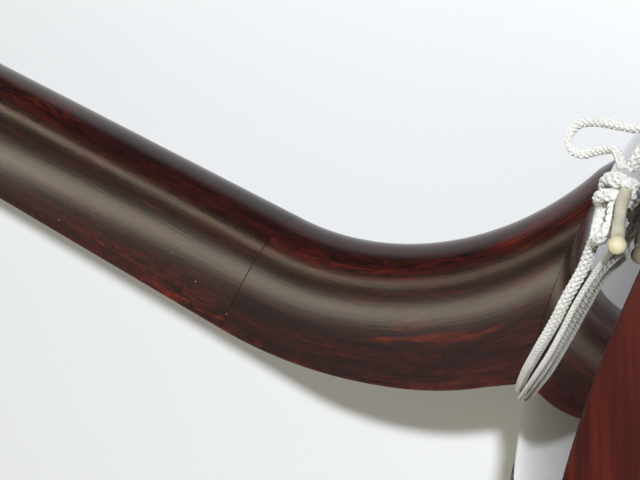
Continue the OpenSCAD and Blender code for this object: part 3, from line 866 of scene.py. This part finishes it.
# ---- Tail cord ----
def make_tail():
    gold = cord_fabric("tail_silk", (0.62, 0.40, 0.10), (0.36, 0.20, 0.04))
    spike = neck_point(2 * HALF_L + 8, TANG[2] + TANG[1] / 2, 0)
    gap, corner, end = 0.3, 2.0, 0.4
    high, wide = TANG[1] / 2 + TAIL_D / 2 + gap, TANG[0] / 2 + TAIL_D / 2 + gap
    on_skin = SKIN_Y - TAIL_D / 2 - 0.1
    strands = []
    for z in (-11, 0, 11):
        route = [(66, on_skin, BODY_Z + 1.3 * z), (73, on_skin, BODY_Z + 1.1 * z),
                 (82, on_skin, BODY_Z + 0.85 * z), (88.6, on_skin, BODY_Z + 0.72 * z),
                 (91.2, -47.4, BODY_Z + 0.68 * z), (96.6, -41, BODY_Z + 0.6 * z),
                 (101.6, -35, BODY_Z + 0.5 * z), (spike.x, spike.y - high - TAIL_D, BODY_Z + 0.45 * z)]
        strands.append(braid(smooth_route(route, 8), TAIL_D, 0.26, 0.35))
    link_mesh("tail_cord_strands", *merged(strands), ["tail_cord"], gold, "tail_cord")
    # round the spike from the middle of its front face and back to it
    loop = [(-high, end), (-high, wide - corner), (corner - high, wide), (high - corner, wide),
            (high, wide - corner), (high, corner - wide), (high - corner, -wide), (corner - high, -wide),
            (-high, corner - wide), (-high, -end)]
    route = [spike + Vector((0, y, z)) for y, z in loop]
    link_mesh("tail_cord_ring", *braid(smooth_route(route, 6), TAIL_D, 0.26, 0.35), ["tail_cord_loop"], gold,
              "tail_cord")


def dress_cad_nodes():
    """Pieces whose CAD shape is right get their materials, and eased edges where they show."""
    brass = plain_polish("brass", (0.72, 0.52, 0.20), (0.50, 0.34, 0.12), 0.25, 200.0, metal=1.0)
    finishes = {
        "front_skin": parchment("skin_front", (0.80, 0.77, 0.68), (0.68, 0.60, 0.46)),
        "back_skin": parchment("skin_back", (0.80, 0.77, 0.68), (0.66, 0.58, 0.44)),
        "plectrum_patch": parchment("patch", (0.70, 0.62, 0.46), (0.60, 0.50, 0.34)),
        "arm_rest": rest_leather(),
        "arm_rest_lining": cord_fabric("rest_felt", (0.16, 0.012, 0.02), (0.09, 0.006, 0.01)),
        "nut": brass, "peg_seat_plates": brass}
    eased = {"arm_rest": 1.6, "nut": 0.25, "peg_seat_plates": 0.25, "plectrum_patch": 0.12}
    for name, material in finishes.items():
        node = NODES[name]
        node.data.materials.clear()
        node.data.materials.append(material)
        if name in eased:
            bevel = node.modifiers.new("Eased", "BEVEL")
            bevel.width, bevel.segments, bevel.limit_method = eased[name] * MM, 3, "ANGLE"
            bevel.angle_limit = math.radians(40)
            bevel.harden_normals = False


def make_cords():
    white = cord_fabric("white_silk", (0.90, 0.90, 0.87), (0.52, 0.50, 0.43), 0.6)
    cream = cord_fabric("cream_silk", (0.88, 0.88, 0.82), (0.52, 0.50, 0.41), 0.6)
    # a braid's points are this share of its diameter apart
    fine = 0.14
    for name, node, route, d, material, slot, strands, thickness in (
            ("tie_cord_thick", "arm_rest_cord", THICK_ROUTE, CORD_D, white, "white_cord", 8, 0.25),
            ("tie_cord_thin", "arm_rest_thin_cord", THIN_ROUTE, THIN_D, cream, "cream_cord", 6, 0.34),
            ("tie_cord_back", "back_tie_cord", BACK_ROUTE, CORD_D, white, "white_cord", 8, 0.25),
            ("tie_cord_tail", "tail_tie_cord", TAIL_TIE_ROUTE, CORD_D, white, "white_cord", 8, 0.25)):
        points, faces = braid(smooth_route(route, 8), d, thickness, d * fine, strands)
        link_mesh(name, points, faces, [node], material, slot)
    line = smooth_route(LOOP_ROUTE, 8)
    points, faces = braid(line, LOOP_D, step=LOOP_D * fine)
    loop = link_mesh("free_loop", points, faces, ["cord_loop"], white, "white_cord")
    path = resample([p * MM for p in line], 0.0008)
    make_knot(white)
    make_bead()


def make_knot(material):
    """The doubled end of the thick cord, and the turns that bind it."""
    eye = [(-93.6, 5.6, 157.4), (-93.6, 3.4, 157.7), (-93.3, 1.6, 158.7), (-92.8, 0.8, 160),
           (-92.4, 1.6, 161.4), (-92.3, 3.4, 161.4), (-92.8, 5.4, 159.8)]
    parts = [braid(smooth_route(eye, 10), CORD_D)]
    for centre, axis, r, wide in (((-93.2, 5.7, 158.6), (-0.15, 0.9, -0.3), 1.5, 1.2),
                                  ((-93.2, 7.0, 158.2), (0.45, 0.7, -0.5), 1.75, 1.3),
                                  ((-93.2, 8.2, 158.0), (-0.1, 0.95, 0.2), 1.45, 1.1)):
        axis = Vector(axis).normalized()
        u = axis.cross(Vector((0, 0, 1))).normalized()
        v = axis.cross(u)
        turn = [Vector(centre) + r * (math.cos(a) * u + wide * math.sin(a) * v)
                for a in (2 * math.pi * k / 24 for k in range(26))]
        parts.append(braid(turn, CORD_D + 0.1))
    link_mesh("knot_turns", *merged(parts), ["cord_knot"], material, "white_cord")


def make_bead():
    """The cream sleeve on the thin cord's end and the bead that closes it."""
    hose = smooth_route(SLEEVE_ROUTE, 8)
    link_mesh("tube_sleeve", *tube(hose, lambda t: 0.7 + 0.05 * math.sin(9 * t), 20), ["cord_tube"],
              plain_polish("cream_tube", (0.60, 0.56, 0.42), (0.46, 0.42, 0.32), 0.4, 700.0), "cream_cord")
    axis = (hose[-1] - hose[-3]).normalized()
    u = axis.orthogonal().normalized()
    v = axis.cross(u)
    rows = []
    for k in range(1, 24):
        a = math.pi * k / 24
        # the ends close on the sleeve's bore
        r = 0.3 if k in (1, 23) else BEAD_R * math.sin(a)**0.8
        middle = Vector(BEAD_CENTRE) - axis * 0.94 * math.cos(a)
        rows.append([middle + r * (math.cos(b) * u + math.sin(b) * v) for b in circle(32)])
    link_mesh("tube_bead", *loft(rows), ["cord_bead"],
              plain_polish("bead_cream", (0.80, 0.74, 0.50), (0.68, 0.60, 0.38), 0.35, 500.0), "bead")


bpy.context.scene.view_settings.view_transform = "Standard"
make_camera()
make_cords()
make_floor()
make_world()
make_lights()
make_body()
make_neck()
make_head()
make_pegs()
make_tail()
dress_cad_nodes()
